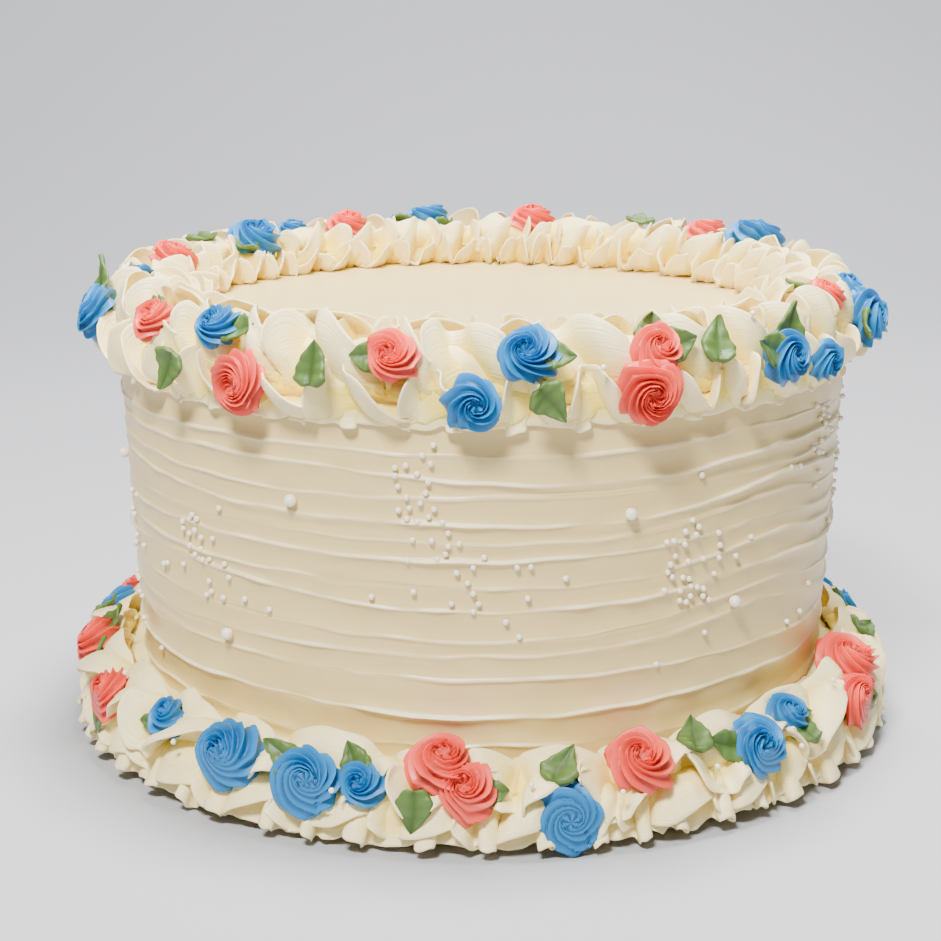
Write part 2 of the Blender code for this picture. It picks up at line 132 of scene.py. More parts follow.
class Nodes:
    """Small helper to build node trees."""

    def __init__(self, name):
        self.mat = bpy.data.materials.new(name)
        self.mat.use_nodes = True
        self.t = self.mat.node_tree
        self.bsdf = self.t.nodes["Principled BSDF"]
        self.coord = self.t.nodes.new("ShaderNodeTexCoord")

    def new(self, kind, **props):
        n = self.t.nodes.new(kind)
        for k, v in props.items():
            if k in n.inputs:
                n.inputs[k].default_value = v
            else:
                setattr(n, k, v)
        return n

    def link(self, a, b):
        self.t.links.new(a, b)

    def noise(self, scale, detail=4.0, rough=0.55, distortion=0.0, vector=None):
        n = self.new("ShaderNodeTexNoise")
        n.inputs["Scale"].default_value = scale
        n.inputs["Detail"].default_value = detail
        n.inputs["Roughness"].default_value = rough
        n.inputs["Distortion"].default_value = distortion
        self.link(vector or self.coord.outputs["Object"], n.inputs["Vector"])
        return n.outputs["Fac"]

    def ramp(self, fac, stops):
        n = self.new("ShaderNodeValToRGB")
        els = n.color_ramp.elements
        while len(els) < len(stops):
            els.new(0.5)
        for e, (p, c) in zip(els, stops):
            e.position = p
            e.color = (*c, 1) if len(c) == 3 else c
        self.link(fac, n.inputs["Fac"])
        return n.outputs["Color"]

    def mix(self, fac, a, b, blend="MIX"):
        n = self.new("ShaderNodeMix", data_type="RGBA", blend_type=blend)
        for sock, val in ((n.inputs[0], fac), (n.inputs[6], a), (n.inputs[7], b)):
            if hasattr(val, "links") or isinstance(val, bpy.types.NodeSocket):
                self.link(val, sock)
            else:
                sock.default_value = val if not isinstance(val, tuple) else (*val, 1)
        return n.outputs[2]

    def math(self, op, a, b=0.0, clamp=False):
        n = self.new("ShaderNodeMath", operation=op, use_clamp=clamp)
        for sock, val in ((n.inputs[0], a), (n.inputs[1], b)):
            if isinstance(val, bpy.types.NodeSocket):
                self.link(val, sock)
            else:
                sock.default_value = val
        return n.outputs[0]

    def bump(self, height, strength, distance, normal=None):
        n = self.new("ShaderNodeBump")
        n.inputs["Strength"].default_value = strength
        n.inputs["Distance"].default_value = distance
        self.link(height, n.inputs["Height"])
        if normal is not None:
            self.link(normal, n.inputs["Normal"])
        return n.outputs["Normal"]

    def attribute(self, name):
        n = self.new("ShaderNodeAttribute", attribute_name=name)
        return n.outputs["Fac"]

    def mapped(self, scale):
        n = self.new("ShaderNodeMapping")
        n.inputs["Scale"].default_value = scale
        self.link(self.coord.outputs["Object"], n.inputs["Vector"])
        return n.outputs["Vector"]


def buttercream(name, pale, deep, sss=0.30, radius=(1.0, 0.74, 0.42), scale=0.0020, rough=0.46,
                pit=0.0, fold=None, tint=None, painted_crest_highlight=None, lanes=0.0):
    """Whipped buttercream: fine grain, tiny air pits, soft light inside, painted shade in the folds (a painted glow
    low on the coat).
    """
    n = Nodes(name)
    broad = n.noise(38.0, 1.0)
    colour = n.mix(broad, pale, tuple(0.94 * a + 0.06 * b for a, b in zip(pale, deep)))
    # painted shade: the colour is mixed towards the second colour where the fold attribute is high (on the coat this
    # is a painted glow)
    if fold is not None:
        colour = n.mix(n.attribute(fold), colour, deep)
    # painted pink reflection from the coral roses, on the coat only
    if tint is not None:
        colour = n.mix(n.attribute(tint[0]), colour, tint[1])
    if painted_crest_highlight is not None:                            # painted highlight: the ridge crests are painted lighter
        colour = n.mix(n.attribute("painted_crest_highlight"), colour, painted_crest_highlight)
    n.link(colour, n.bsdf.inputs["Base Color"])
    b = n.bsdf
    b.subsurface_method = "BURLEY"
    b.inputs["Subsurface Weight"].default_value = sss
    b.inputs["Subsurface Radius"].default_value = radius
    b.inputs["Subsurface Scale"].default_value = scale
    b.inputs["IOR"].default_value = 1.45
    b.inputs["Specular IOR Level"].default_value = 0.42
    r = n.math("MULTIPLY_ADD", broad, 0.14)
    r.node.inputs[2].default_value = rough - 0.07
    n.link(r, b.inputs["Roughness"])
    grain = n.noise(900.0, 1.0, 0.6)
    normal = n.bump(grain, 0.10, 0.0006)
    soft = n.noise(190.0, 1.0)
    normal = n.bump(soft, 0.16, 0.0012, normal)
    if pit:
        vor = n.new("ShaderNodeTexVoronoi", feature="F1")
        vor.inputs["Scale"].default_value = 420.0
        n.link(n.coord.outputs["Object"], vor.inputs["Vector"])
        dots = n.ramp(vor.outputs["Distance"], [(0.0, (0, 0, 0)), (0.17, (1, 1, 1))])
        pick = n.ramp(n.noise(120.0, 1.0), [(0.54, (1, 1, 1)), (0.64, (0, 0, 0))])
        both = n.math("MAXIMUM", dots, pick)
        normal = n.bump(both, pit, 0.0006, normal)
    if lanes:                                      # the streaks that the nozzle leaves along a ribbon
        line = n.new("ShaderNodeTexNoise", noise_dimensions="1D")
        line.inputs["Scale"].default_value = 1.0
        line.inputs["Detail"].default_value = 1.0
        way = n.math("MULTIPLY_ADD", n.attribute("lane"), 34.0)
        n.link(n.math("MULTIPLY", n.noise(26.0, 1.0), 9.0), way.node.inputs[2])
        n.link(way, line.inputs["W"])
        normal = n.bump(line.outputs["Fac"], lanes, 0.0010, normal)
    n.link(normal, b.inputs["Normal"])
    return n.mat


# The coat and the piped icing are one ivory buttercream: the piped colour is painted lighter as painted light on the
# ruffles, the coat's base darker as painted shade on the side.
IVORY_PALE = (0.985, 0.855, 0.505)
# the colour of the painted glow low on the coat's side
IVORY_DEEP = (0.945, 0.790, 0.215)
mat_coat = buttercream("smooth_ivory_buttercream", (0.755, 0.572, 0.250), IVORY_DEEP, rough=0.32,
                       scale=0.0013, fold="painted_shade_and_glow", tint=("painted_coral_bounce", (0.88, 0.52, 0.42)), painted_crest_highlight=(0.990, 0.900, 0.640))
# the second colour of each icing is its painted shade colour for the hollows, grooves and creases
mat_piped = buttercream("piped_ivory_buttercream", IVORY_PALE, (0.945, 0.730, 0.090), sss=0.20,
                        scale=0.0012, rough=0.40, fold="painted_shade_and_glow", lanes=0.22)
mat_blue = buttercream("blue_buttercream", (0.012, 0.205, 0.500), (0.002, 0.042, 0.140), sss=0.12,
                       radius=(0.5, 0.7, 1.0), scale=0.0022, rough=0.42, fold="painted_shade_and_glow", pit=0.25)
mat_coral = buttercream("coral_buttercream", (0.880, 0.098, 0.066), (0.380, 0.012, 0.008), sss=0.15,
                        radius=(1.0, 0.45, 0.35), scale=0.0024, rough=0.42, fold="painted_shade_and_glow", pit=0.25)
mat_green = buttercream("leaf_green_buttercream", (0.095, 0.170, 0.038), (0.035, 0.075, 0.012),
                        sss=0.18, radius=(0.6, 1.0, 0.4), scale=0.0018, rough=0.46, fold="painted_shade_and_glow",
                        pit=0.55)


def pearl_material():
    n = Nodes("white_sugar_pearl")
    n.link(n.mix(n.noise(300.0, 2.0), (0.960, 0.900, 0.760), (0.920, 0.840, 0.680)),
           n.bsdf.inputs["Base Color"])
    b = n.bsdf
    b.inputs["Roughness"].default_value = 0.20
    b.subsurface_method = "BURLEY"
    b.inputs["Subsurface Weight"].default_value = 0.3
    b.inputs["Subsurface Radius"].default_value = (1.0, 0.9, 0.7)
    b.inputs["Subsurface Scale"].default_value = 0.001
    b.inputs["Coat Weight"].default_value = 0.35
    b.inputs["Coat Roughness"].default_value = 0.12
    n.link(n.bump(n.noise(1500.0, 2.0), 0.08, 0.0002), b.inputs["Normal"])
    return n.mat


mat_pearl = pearl_material()

# ------------------------------------------------------------------ cake body

# Raised spatula lines round the side: height in metres, wander, height of the ridge, seed.
RIDGES = [
    (0.0185, 0.0030, 0.00100, 3), (0.0265, 0.0024, 0.00170, 5), (0.0335, 0.0030, 0.00140, 8),
    (0.0470, 0.0034, 0.00210, 13), (0.0590, 0.0026, 0.00110, 21), (0.0690, 0.0030, 0.00110, 34),
    (0.0775, 0.0034, 0.00080, 55), (0.0870, 0.0036, 0.00200, 4), (0.0970, 0.0024, 0.00120, 7),
    (0.1050, 0.0030, 0.00170, 11), (0.1130, 0.0024, 0.00070, 62), (0.1200, 0.0030, 0.00210, 18),
    (0.1290, 0.0022, 0.00100, 29), (0.1370, 0.0028, 0.00180, 47), (0.1460, 0.0018, 0.00120, 76),
]


def cake_body():
    nu = 440
    th = np.arange(nu) * TAU / nu
    lines = []
    for z, wander, high, seed in RIDGES:
        path = z + wander * 0.85 * wobble(th, (1, 2, 3, 5), seed) + 0.0004 * wobble(th, (17, 23, 31), seed + 1)
        path = path + 0.0060 * np.exp(-((th - math.radians(318)) / 0.30) ** 2) * (1 if 0.06 < z < 0.125 else 0.3)
        strength = np.clip(0.60 + 0.55 * wobble(th, (2, 4, 7, 11), seed + 2)
                           + 0.22 * wobble(th, (23, 37, 52), seed + 6), 0.03, 1.3)
        lines.append((path, 0.78 * high * strength, 0.5 + 0.4 * wobble(th, (5, 9), seed + 3)))
    lines.sort(key=lambda l: l[0].mean())
    gap = 0.0036
    for k in range(1, len(lines)):
        low = lines[k - 1][0]
        lines[k] = (np.maximum(lines[k][0], low + gap), *lines[k][1:])
    rows_z, rows_d, rows_crest_highlight = [np.full(nu, 0.0)], [np.zeros(nu)], [np.zeros(nu)]
    profile = [(-0.0020, 0.10), (-0.0010, 0.42), (-0.0004, 0.84), (0.0, 1.0), (0.0004, 0.88),
               (0.0008, 0.50), (0.0012, 0.06)]
    prev_top = np.full(nu, 0.0)
    for k, (path, high, _) in enumerate(lines):
        low = path + profile[0][0]
        for s in (0.5,):
            rows_z.append(prev_top + (low - prev_top) * s)
            rows_d.append(np.full(nu, -0.00022 - 0.00012 * math.sin(3.1 * k + 9 * s)))
            rows_crest_highlight.append(np.zeros(nu))
        for dz, d in profile:
            rows_z.append(path + dz)
            rows_d.append(high * d)
            # painted highlight on each ridge crest, stronger on the higher ridges
            rows_crest_highlight.append(np.clip(high / 0.0016, 0, 1) * np.interp(dz, [-0.0006, 0.0, 0.0008, 0.0012], [0, 1, 0.9, 0]))
        prev_top = path + profile[-1][0]
    edge = CAKE_H - 0.0040
    for s in (0.3, 0.6, 1.0):
        rows_z.append(prev_top + (edge - prev_top) * s)
        rows_d.append(np.full(nu, -0.0001))
    zs, ds = np.array(rows_z), np.array(rows_d)
    broad = 0.00028 * np.array([wobble(th + 0.9 * k, (3, 5, 8), 60 + k // 6) for k in range(len(zs))])
    r = side_radius(zs) - 0.0004 + ds + 0.6 * broad
    rows = [(r[k], zs[k]) for k in range(len(zs))]
    for a in (25, 50, 72, 90):
        a = math.radians(a)
        rr = side_radius(CAKE_H) - 0.0004 - 0.0032 * (1 - math.cos(a))
        rows.append((np.full(nu, rr), np.full(nu, CAKE_H - 0.0040 * (1 - math.sin(a)))))
    for rr in (0.140, 0.130, 0.118, 0.104, 0.088, 0.070, 0.050, 0.030, 0.012):
        rows.append((np.full(nu, rr), CAKE_H - 0.00016 * (1 + wobble(th * (1 if rr > 0.02 else 0), (2, 3), int(rr * 1e4)))
                     * min(1, (0.145 - rr) / 0.01)))
    co = np.zeros((len(rows), nu, 3))
    for k, (rr, zz) in enumerate(rows):
        co[k, :, 0], co[k, :, 1], co[k, :, 2] = rr * np.cos(th), rr * np.sin(th), zz
    n = len(rows)
    verts = co.reshape(-1, 3)
    faces = grid_faces(n, nu, wrap_v=True)[:, ::-1]
    verts = np.vstack([verts, [[0, 0, CAKE_H - 0.0002], [0, 0, 0]]])
    c = n * nu
    top = [((n - 1) * nu + i, (n - 1) * nu + (i + 1) % nu, c) for i in range(nu)]
    low = [((i + 1) % nu, i, c + 1) for i in range(nu)]
    z = verts[:, 2]
    painted_crest_highlight = np.zeros(len(verts))
    painted_crest_highlight[:len(rows_crest_highlight) * nu] = np.array(rows_crest_highlight).ravel()
    ang = np.arctan2(verts[:, 1], verts[:, 0])
    side = np.hypot(verts[:, 0], verts[:, 1]) > side_radius(z) - 0.004
    # painted warm glow low on the side near the foot border: below about 6 cm the coat is mixed towards the lighter,
    # yellower IVORY_DEEP
    painted_shade_and_glow = np.where(side, 0.40 * (1 - fade(z, 0.022, 0.062)) ** 1.3, 0.0)
    # painted pink reflection: the coral foot roses light the side just above them
    painted_coral_bounce = np.zeros_like(z)
    for t, zz, w in ((-93, 0.045, 0.24), (-68, 0.045, 0.26), (-20, 0.048, 0.20), (-152, 0.05, 0.10),
                     (42, 0.045, 0.20), (90, 0.045, 0.20)):
        d = np.abs((ang - math.radians(t) + math.pi) % TAU - math.pi) * 0.148
        painted_coral_bounce = np.maximum(painted_coral_bounce, w * np.exp(-(d / 0.013) ** 2 - ((z - zz) / 0.012) ** 2))
    painted_coral_bounce = np.where(side, painted_coral_bounce, 0)
    obj = make_mesh("smooth_coat", verts, list(faces) + top + low, mat_coat,
                    attrs={"painted_shade_and_glow": painted_shade_and_glow, "painted_coral_bounce": painted_coral_bounce, "painted_crest_highlight": 0.85 * painted_crest_highlight})
    return finish_piece(obj, "smooth_icing", "cake_body")


# ------------------------------------------------------------------ roses and leaves: where they sit

# theta, psi, diameter in mm, colour, leaves as (direction in degrees, reach in mm). A direction of 0
# points along the border towards greater theta, 90 points up the section.
TOP_ROSES = [
    (-166, 21, 21, "blue", [(125, 22)]),
    (-143.5, 46, 16, "coral", [(138, 12)]),
    (-129.5, 56, 16, "blue", [(5, 15)]),
    (-123, 0, 21, "coral", []),
    (-101.5, 39, 18, "coral", [(180, 14)]),
    (-84, 42, 20, "blue", [(-8, 15)]),
    (-91, -10, 19, "blue", []),
    (-68.5, -1, 22, "coral", []),
    (-67, 38, 18, "coral", [(10, 15), (45, 14)]),
    (-45, 9, 19, "blue", [(153, 20), (72, 19)]),
    (-35, -5, 15, "blue", []),
    (-23, 71, 14, "coral", [(110, 16)]),
    (-15.5, 19, 21, "blue", [(-165, 15)]),
    (-13.5, 55, 15, "blue", []),
    (31.5, 76, 24, "blue", [(180, 16)]),
    (44.5, 78, 18, "coral", [(0, 15)]),
    (80.5, 88, 20, "coral", [(10, 14)]),
    (101, 78, 20, "blue", [(8, 15), (150, 13)]),
    (118, 97, 19, "coral", []),
    (128.5, 80, 14, "blue", []),
    (142, 112, 22, "blue", [(20, 15)]),
    (167.5, 104, 18, "coral", [(-170, 13)]),
    (-173, 84, 13, "blue", []),
]
TOP_LEAVES = [  # theta, psi, direction, length in mm
    (-135.2, 1, -118, 13), (-111.7, 19, 90, 14), (-81.5, -4, -45, 13), (-57.5, 38, 72, 15),
    (58, 90, 75, 12), (153.5, 92, 60, 13),
]
FOOT_ROSES = [
    (163, 58, 18, "coral", []),
    (168.5, 44, 18, "blue", []),
    (-172.4, 51, 21, "coral", [(93, 16), (0, 15)]),
    (-153, 41, 20, "coral", [(-97, 17)]),
    (-137.8, 53, 16, "blue", [(-158, 12)]),
    (-124, 44, 25, "blue", []),
    (-112.3, 38, 25, "blue", [(143, 20)]),
    (-105, 43, 16, "blue", [(124, 15)]),
    (-91.9, 41, 20, "coral", [(-2, 14)]),
    (-95.3, 62, 23, "coral", []),
    (-79, 20, 23, "blue", []),
    (-69, 53, 23, "coral", []),
    (-51.4, 44, 22, "blue", [(163, 21)]),
    (-43.2, 61, 17, "blue", [(-12, 12), (-55, 19)]),
    (-21.4, 65, 24, "coral", []),
    (-27.5, 38, 20, "coral", [(-10, 18)]),
    (11, 46, 15, "blue", [(120, 13)]),
    (18, 60, 16, "blue", []),
    (41, 44, 22, "coral", [(20, 15)]),
    (66, 36, 22, "blue", [(150, 15)]),
    (90, 50, 21, "coral", [(-20, 14)]),
    (114, 38, 22, "blue", [(110, 15)]),
    (138, 48, 20, "coral", [(150, 14)]),
]
FOOT_LEAVES = [
    (177, 56, 70, 13), (-97.9, 24, -88, 15), (-80, 56, 60, 14), (-60.5, 64, 60, 13), (-4, 54, -30, 15),
]
ROSE_SINK = 0.0042


def seat(section, theta, psi, sink):
    """4x4 frame on a border: axes along the ring, up the section and out."""
    t, p = math.radians(theta), math.radians(psi)
    r, z, ox, oz = (float(v) for v in section_point(section, np.float64(t), np.float64(p), -sink))
    radial = Vector((math.cos(t), math.sin(t), 0))
    out = radial * ox + Vector((0, 0, oz))
    right = Vector((-math.sin(t), math.cos(t), 0))
    up = out.cross(right)
    m = Matrix((right, up, out)).transposed().to_4x4()
    m.translation = radial * r + Vector((0, 0, z))
    return m


def settle(m, d):
    """Moves a rose out or up until its plain outline is clear of the cake side and of the ground."""
    pts = []
    for share, rise, lobe in ((0.80, 0.0, 0.04), (1.0, 0.40, 0.09), (0.60, 0.86, 0.10)):
        for i in range(40):
            a = TAU * i / 40
            rr = d / 2 * share * (1 - lobe)
            pts.append(Vector((rr * math.cos(a), rr * math.sin(a), 0.46 * d * rise)))
    for _ in range(40):
        world = [m @ p for p in pts]
        low = min(p.z for p in world)
        near = min([math.hypot(p.x, p.y) - side_radius(p.z) for p in world if p.z < CAKE_H] or [1])
        step = Vector((0, 0, 0))
        if low < 0.0004:
            step.z += 0.0004 - low
        if near < 0.0012:
            step += Vector((m.translation.x, m.translation.y, 0)).normalized() * 0.0005
        if step.length < 1e-7:
            break
        m = Matrix.Translation(step) @ m
    return m


def leaf_tips(name, m, reach, directions, low, high):
    """Where the frame's own leaves point: the direction and lift of each tip in the frame m."""
    inv = m.inverted()
    obj = bpy.data.objects[name]
    found = []
    for v in obj.data.vertices:
        p = inv @ (obj.matrix_world @ v.co)
        found.append((math.hypot(p.x, p.y), math.degrees(math.atan2(p.y, p.x)), p.z))
    out = []
    for want, length in zip(directions, reach):
        best = None
        for rho, ang, z in found:
            off = (ang - want + 180) % 360 - 180
            if abs(rho - length) < 0.0009 and low < z < high and abs(off) < 100:
                if any(abs((ang - o[0] + 180) % 360 - 180) < 14 for o in out):
                    continue
                if best is None or abs(off) < abs(best[0]):
                    best = (off, ang, z)
        out.append((best[1], best[2]) if best else (want, 0.0045))
    return out


def find_seats():
    roses, leaves = [], []
    for where, section, table, lone in (("top", TOP_SECTION, TOP_ROSES, TOP_LEAVES),
                                        ("foot", FOOT_SECTION, FOOT_ROSES, FOOT_LEAVES)):
        for n, (theta, psi, d_mm, colour, hold) in enumerate(table, 1):
            name = f"{where}_rose_{colour}_{n:02d}"
            d = d_mm / 1000
            m = settle(seat(section, theta, psi, ROSE_SINK), d)
            roses.append(dict(name=name, m=m, d=d, colour=colour, seed=n + (50 if where == "foot" else 0),
                              leaves=[]))
            tips = leaf_tips(name, m, [l / 1000 for _, l in hold], [a for a, _ in hold], 0.001, 0.012)
            for (ang, z), (want, length) in zip(tips, hold):
                roses[-1]["leaves"].append(len(leaves))
                leaves.append(dict(m=m, ang=math.radians(ang), start=0.24 * d, end=length / 1000 * 1.14,
                                   lift=min(z, 0.0062) - 0.0004, off=ang - want, seed=len(leaves)))
        for n, (theta, psi, direction, length) in enumerate(lone, 1):
            name = f"{where}_leaf_{n:02d}"
            m = seat(section, theta, psi, 0.0)
            (ang, z), = leaf_tips(name, m, [0.6 * length / 1000], [direction], -0.002, 0.009)
            leaves.append(dict(m=m, ang=math.radians(ang), start=-0.46 * length / 1000,
                               end=0.70 * length / 1000, lift=z - 0.0004, off=ang - direction,
                               name=name, seed=len(leaves)))
    for L in leaves:                                       # the tips stay above the ground
        m = L["m"] @ Matrix.Rotation(L["ang"], 4, "Z")
        while (m @ Vector((L["end"], 0, L["lift"]))).z < 0.0022:
            L["end"] *= 0.97
    return roses, leaves


ROSES, LEAVES = find_seats()


def press(mid):
    """Pushes a ruffle in where a rose or a leaf is set on it."""
    shape = mid.shape
    p = mid.reshape(-1, 3).copy()

    def local(m):
        a = np.array(m.inverted())
        return p @ a[:3, :3].T + a[:3, 3]

    def put(m, mask, q):
        a = np.array(m)
        p[mask] = q @ a[:3, :3].T + a[:3, 3]

    for R in ROSES:
        q = local(R["m"])
        rho = np.hypot(q[:, 0], q[:, 1]) / (R["d"] / 2)
        cap = np.where(rho < 0.88, 0.0004, 0.0004 + (rho - 0.88) / 0.42 * 0.0085)
        mask = (rho < 1.30) & (q[:, 2] > cap - 0.0005) & (q[:, 2] < 0.026)
        over = q[mask, 2] - (cap[mask] - 0.0005)
        q[mask, 2] = cap[mask] - 0.0005 + 0.0005 * np.tanh(over / 0.0005)
        put(R["m"], mask, q[mask])
    for L in LEAVES:
        m = L["m"] @ Matrix.Rotation(L["ang"], 4, "Z")
        q = local(m)
        span = L["end"] - L["start"]
        u = (q[:, 0] - L["start"]) / span
        half = 0.0058 * np.clip(1.25 - 1.1 * np.clip(u, 0, 1.1), 0.15, 1)
        side = np.abs(q[:, 1]) / half
        cap = L["lift"] - 0.0016 + np.maximum(side - 1, 0) * 0.006 + np.maximum(u - 1, 0) * span * 0.8
        mask = (u > -0.15) & (u < 1.2) & (side < 1.5) & (q[:, 2] > cap - 0.0004) & (q[:, 2] < 0.018)
        over = q[mask, 2] - (cap[mask] - 0.0004)
        q[mask, 2] = cap[mask] - 0.0004 + 0.0004 * np.tanh(over / 0.0004)
        put(m, mask, q[mask])
    return p.reshape(shape)


# ------------------------------------------------------------------ piped ruffle ribbons

# One fold of a ruffle's free edge, step by step: along the ring, outwards, up the section, in mm,
# for a fold 30 mm long. A lip curls up over the fold before, the edge goes over an open hollow, then
# swells into a long face that sweeps down and tucks in under the next lip.
FOLD = [
    (-2.5, 5.0, -6.2), (-2.8, 6.8, -1.0), (0.0, 5.6, 4.6), (2.6, 1.0, 7.4), (5.2, -1.2, 8.4),
    (8.6, 0.8, 7.8), (9.8, 4.6, 5.8), (15.0, 7.0, 2.2), (21.6, 6.6, -2.6), (28.0, 3.4, -6.4),
    (31.5, -1.6, -8.0), (29.0, 1.0, -8.4),
]
SWELL = (0.3, 0.2, -0.3, -1.1, -1.2, -0.6, 0.5, 1.0, 1.0, 0.4, -0.6, -0.2)   # how the face bulges


def smooth_loop(points, sub, lap=None):
    """Catmull-Rom through a closed list of points; lap is what one turn adds."""
    p = np.asarray(points, float)
    n = len(p)
    add = np.zeros(p.shape[1:]) if lap is None else np.asarray(lap, float)
    q = np.concatenate([p[-1:] - add, p, p[:2] + add])
    s = np.arange(sub) / sub
    s = s.reshape((-1,) + (1,) * (p.ndim - 1)) if p.ndim > 1 else s
    out = []
    for k in range(n):
        a, b, c, d = q[k], q[k + 1], q[k + 2], q[k + 3]
        out.append(0.5 * (2 * b + (c - a) * s + (2 * a - 5 * b + 4 * c - d) * s ** 2
                          + (3 * b - a - 3 * c + d) * s ** 3))
    return np.concatenate(out)


def thin_shell(name, mid, t_root, t_edge, material, painted_shade_and_glow):
    """Gives a closed ring of ribbon (nu, nv, 3) its thickness; the last column is the free edge."""
    nu, nv = mid.shape[:2]
    v = RIBBON_V[nv]
    du = np.roll(mid, -1, 0) - np.roll(mid, 1, 0)
    dv = np.gradient(mid, axis=1)
    nrm = np.cross(du, dv)
    nrm /= np.maximum(np.linalg.norm(nrm, axis=2, keepdims=True), 1e-12)
    t = t_root + (t_edge - t_root) * v ** 0.7
    close = np.clip((v - 0.94) / 0.06, 0, 1)
    t = t * np.sqrt(np.clip(1 - close ** 2, 0, 1)) * 0.5
    a, b = mid + nrm * t[..., None], mid - nrm * t[..., None]
    loop = np.concatenate([a, b[:, :-1][:, ::-1]], axis=1)
    faces = grid_faces(nu, loop.shape[1], wrap_u=True, wrap_v=True)
    verts = loop.reshape(-1, 3)
    w = np.concatenate([painted_shade_and_glow, painted_shade_and_glow[:, :-1][:, ::-1]], 1)
    tri = verts[faces[:, [0, 1, 2]]]
    if np.einsum("ij,ij->i", tri[:, 0], np.cross(tri[:, 1], tri[:, 2])).sum() < 0:
        faces = faces[:, ::-1]
    lane = np.concatenate([v + 0 * painted_shade_and_glow, (v + 0 * painted_shade_and_glow)[:, :-1][:, ::-1]], 1)
    return make_mesh(name, verts, faces, material, attrs={"painted_shade_and_glow": w.ravel(), "lane": lane.ravel()})


RIBBON_V = {n: np.concatenate([np.linspace(0, 0.94, n - 4), [0.965, 0.983, 0.995, 1.0]])[None, :]
                for n in range(8, 40)}


def ring_point(r, z, th):
    return np.stack([r * np.cos(th), r * np.sin(th), z + 0 * th], -1)


def ruffle(name, section, root_psi, edge_psi, folds, seed, side=1, sub=3, nv=14, size=1.0, depth=1.0,
           height=1.0, root_in=0.004, out=-0.0015, belly=0.0036, flare=0.0042, mix=0.20, lean=8.0, glow=1.0,
           floor=None, limit=None, thick=(0.0030, 0.0012), fold=FOLD, swell=SWELL):
    """A piped ruffle round the ring, from root_psi on its section to a free edge about edge_psi."""
    rng = np.random.default_rng(seed)
    sec = section
    width = rng.uniform(0.62, 1.40, folds)
    width = width / width.sum() * TAU
    start = np.concatenate([[0], np.cumsum(width)[:-1]]) + rng.uniform(0, TAU)
    n = len(fold)
    rim, root, face = [], [], []
    for j in range(folds):
        wide = width[j] / 30.0
        big = rng.uniform(0.80, 1.20) * (width[j] * folds / TAU) ** 0.4
        tall = rng.uniform(0.65, 1.25)
        sweep = rng.uniform(-1.5, 1.5)
        for k, (t, d, w) in enumerate(fold):
            jt, jd, jw = rng.normal(0, 1, 3) * mix * (2.2, 2.4, 2.4)
            rim.append((start[j] + wide * (t + jt), (d * big * depth + jd) * 1e-3,
                        (w * tall * height + jw + sweep * math.sin(TAU * k / n)) * 1e-3))
            root.append((start[j] + wide * (lean + 30 * (k + 0.3 * rng.normal()) / n), rng.normal() * 0.0005))
            face.append(swell[k] * rng.uniform(0.7, 1.2))
    rim = smooth_loop(rim, sub, (TAU, 0, 0))
    ripple = np.arange(len(rim)) / len(rim) * TAU
    rim[:, 1] += 0.00030 * wobble(ripple, (5 * folds // 2, 4 * folds, 3 * folds + 7), seed + 40)
    rim[:, 2] += 0.00035 * wobble(ripple, (2 * folds + 5, 3 * folds + 2, 5 * folds), seed + 41)
    root = smooth_loop(root, sub, (TAU, 0))
    face = smooth_loop(face, sub)[:, None]
    v = RIBBON_V[nv]
    grow = v ** 1.15
    th = root[:, :1] + (rim[:, :1] - root[:, :1]) * fade(v, -0.35, 1.05)
    d = (-root_in * (1 - v) ** 2 + out * grow + root[:, 1:2] * (1 - v) + rim[:, 1:2] * grow
         + belly * face * np.sin(math.pi * v ** 0.9) + flare * (np.clip((v - 0.55) / 0.45, 0, 1) ** 2 - 0.35 * grow))
    psi = (np.radians(root_psi + (edge_psi - root_psi) * v)
           + side * rim[:, 2:3] * grow / (0.5 * (sec[2] + sec[3])))
    r, z, ox, oz = section_point(sec, th, psi, 0.0)
    r, z = r + d * ox, z + d * oz
    near = side_radius(z) + 0.0007
    r = np.where((z < CAKE_H) & (r < near) & (v > 0.12), near, r)      # clear of the smooth side
    if limit is not None:
        over = np.maximum(r - (limit - 0.002), 0)
        r = np.where(over > 0, limit - 0.002 + 0.002 * np.tanh(over / 0.002), r)
    if floor is not None:
        z = floor + np.logaddexp(0, (z - floor) / 0.0007) * 0.0007
    # painted yellow shade in the hollows where the ribbon turns in, none at the bright free edge; glow scales it
    deep = np.clip(0.45 - d / 0.010, 0, 1)
    painted_shade_and_glow = np.clip(glow * (0.08 + 1.10 * deep * (1 - 0.45 * v)), 0, 1) * (1 - 0.8 * fade(v, 0.80, 1.0))
    return thin_shell(name, press(ring_point(r, z, th)), *thick, mat_piped, painted_shade_and_glow)


